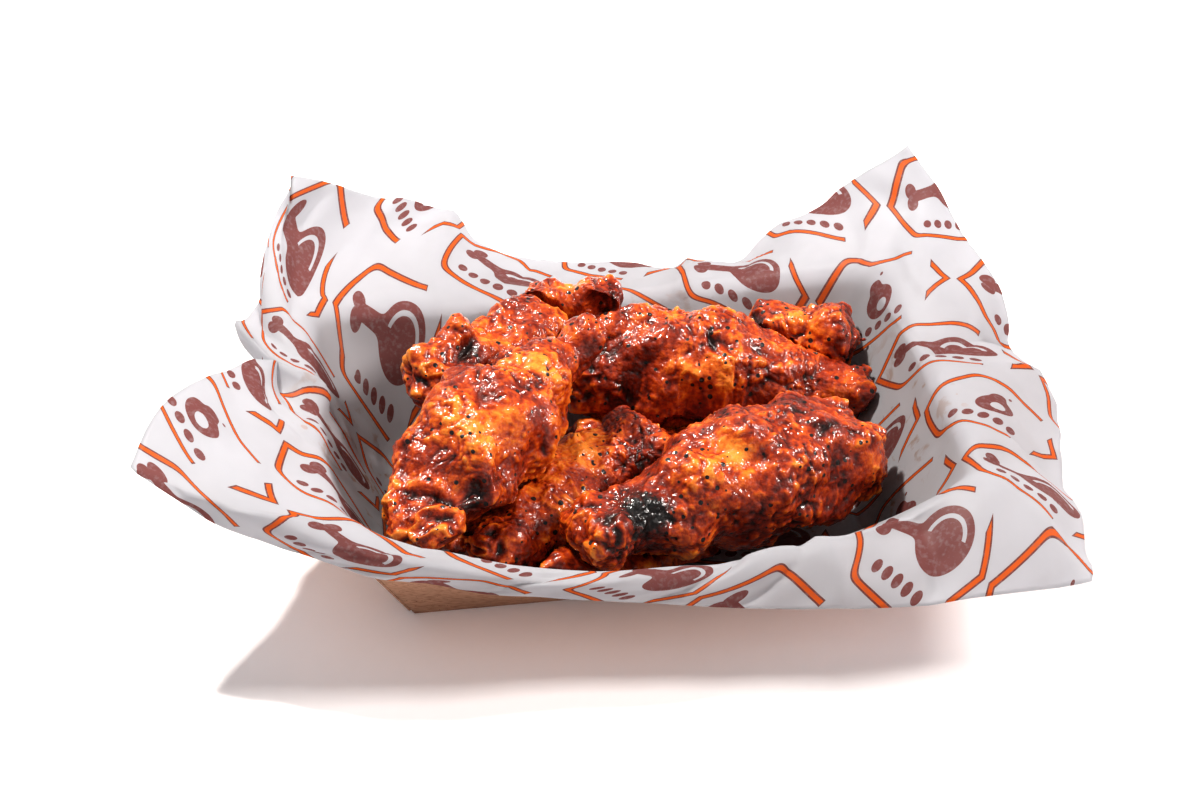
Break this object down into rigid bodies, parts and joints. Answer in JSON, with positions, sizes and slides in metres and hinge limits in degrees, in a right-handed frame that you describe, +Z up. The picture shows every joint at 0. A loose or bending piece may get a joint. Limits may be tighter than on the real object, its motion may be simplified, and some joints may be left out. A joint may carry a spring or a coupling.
{
  "type": "chicken wings serving",
  "caption": "Serving of glazed chicken wings in an open paperboard tray lined with a flared sheet of printed deli paper.",
  "frame": {"origin": "centre of the tray's underside, on the surface it stands on", "axes": "+Z up; X along the tray's long side; the front of the serving faces -Y"},
  "size_m": [0.2631, 0.2116, 0.0672],
  "materials": {
    "kraft_board": "matt",
    "deli_paper": "matt",
    "glazed_chicken": "glossy"
  },
  "bodies": {
    "root": {"kraft_tray": "kraft_board", "deli_paper": "deli_paper", "drumette_front_left": "glazed_chicken", "drumette_front_right": "glazed_chicken", "drumette_middle_right": "glazed_chicken", "flat_centre": "glazed_chicken", "flat_back_left": "glazed_chicken", "flat_back_top": "glazed_chicken", "flat_back_right": "glazed_chicken", "flat_under_front": "glazed_chicken", "flat_under_back": "glazed_chicken", "flat_under_left": "glazed_chicken"}
  },
  "joints": []
}
